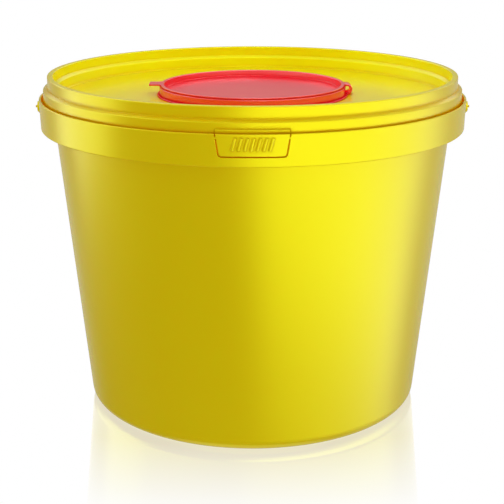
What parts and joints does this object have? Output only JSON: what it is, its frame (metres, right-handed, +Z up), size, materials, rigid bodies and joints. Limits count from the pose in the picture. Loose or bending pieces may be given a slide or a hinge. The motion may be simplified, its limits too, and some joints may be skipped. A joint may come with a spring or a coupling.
{
  "type": "medical waste bucket",
  "caption": "Round tapered yellow waste bucket with a press-on lid, a red flip-top closure in the sunk lid deck, a tear-off tab in the collar and a carrying bail.",
  "frame": {"origin": "centre of the foot ring, on the surface the bucket stands on", "axes": "+Z up along the bucket's axis; the tear-off tab faces -Y; the handle's pivots lie on the X axis, and the closure opens from -X and is hinged at +X"},
  "size_m": [0.2762, 0.2688, 0.2124],
  "materials": {
    "yellow_plastic": "satin moulded polypropylene",
    "red_plastic": "satin moulded polypropylene"
  },
  "bodies": {
    "bucket": {"bucket": "yellow_plastic"},
    "lid": {"lid": "yellow_plastic", "closure_ring": "red_plastic", "hinge_strap": "red_plastic"},
    "cap": {"closure_cap": "red_plastic"},
    "handle": {"handle": "yellow_plastic"}
  },
  "joints": [
    {"name": "lid_lift", "type": "slide", "parent": "bucket", "child": "lid", "axis": [0, 0, 1], "range_m": [0, 0.06]},
    {"name": "cap_hinge", "type": "hinge", "parent": "lid", "child": "cap", "pos_m": [0.0602, 0, 0.204], "axis": [0, 1, 0], "range_deg": [0, 150]},
    {"name": "handle_swing", "type": "hinge", "parent": "bucket", "child": "handle", "pos_m": [0, 0, 0.1903], "axis": [1, 0, 0], "range_deg": [0, 228]}
  ]
}
